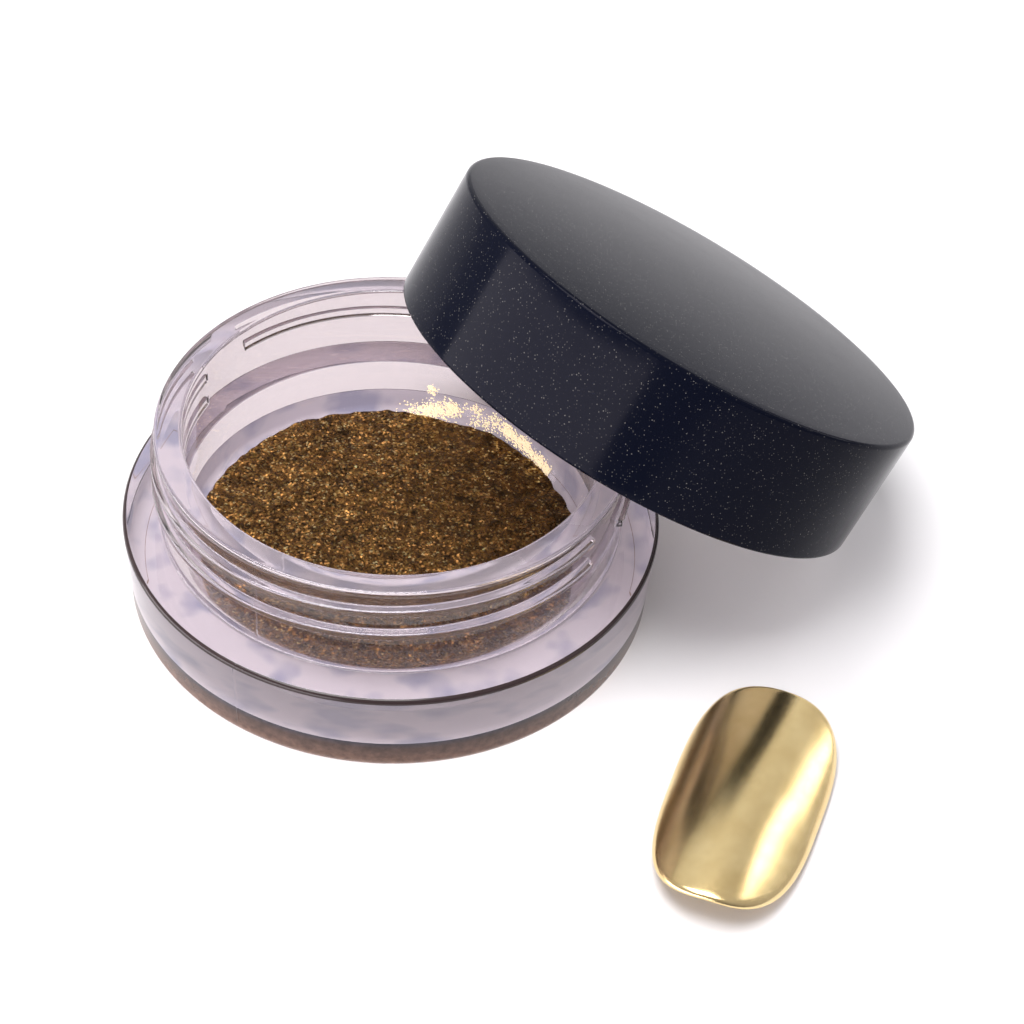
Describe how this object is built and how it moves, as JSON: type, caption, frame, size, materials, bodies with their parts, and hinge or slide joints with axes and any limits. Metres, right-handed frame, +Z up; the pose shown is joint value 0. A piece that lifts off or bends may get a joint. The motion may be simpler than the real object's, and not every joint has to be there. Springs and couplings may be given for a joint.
{
  "type": "screw-cap pot of nail chrome powder",
  "caption": "Clear screw-neck cosmetic pot of gold chrome nail powder, its black screw cap off and leaning on it, and a coated nail tip.",
  "frame": {"origin": "centre of the pot's flat foot, on the surface it stands on", "axes": "+Z up along the pot's axis; the cap leans on the pot's rim towards +X and +Y; the nail tip lies towards +X and -Y"},
  "size_m": [0.0503, 0.0533, 0.025],
  "materials": {
    "clear_plastic": "clear, polished, faint lilac tint",
    "gold_powder": "loose fine powder with metallic sparkle",
    "black_plastic": "glossy blue-black with fine pale specks",
    "liner_foam": "closed-cell foam sheet",
    "gold_coating": "gold mirror coating with fine grain"
  },
  "bodies": {
    "pot": {"pot": "clear_plastic", "chrome_powder": "gold_powder"},
    "liner": {"cap_liner": "liner_foam"},
    "cap": {"screw_cap": "black_plastic"},
    "nail_tip": {"nail_tip": "gold_coating"}
  },
  "joints": [
    {"name": "cap_lift", "type": "slide", "parent": "pot", "child": "liner", "axis": [0.4374, 0.3163, 0.8418], "range_m": [0, 0.035]},
    {"name": "cap_turn", "type": "hinge", "parent": "liner", "child": "cap", "pos_m": [0.01472, 0.00792, 0.00893], "axis": [0.4374, 0.3163, 0.8418], "continuous": true},
    {"name": "nail_tip_lift", "type": "slide", "parent": "pot", "child": "nail_tip", "axis": [0, 0, 1], "range_m": [0, 0.03]}
  ]
}
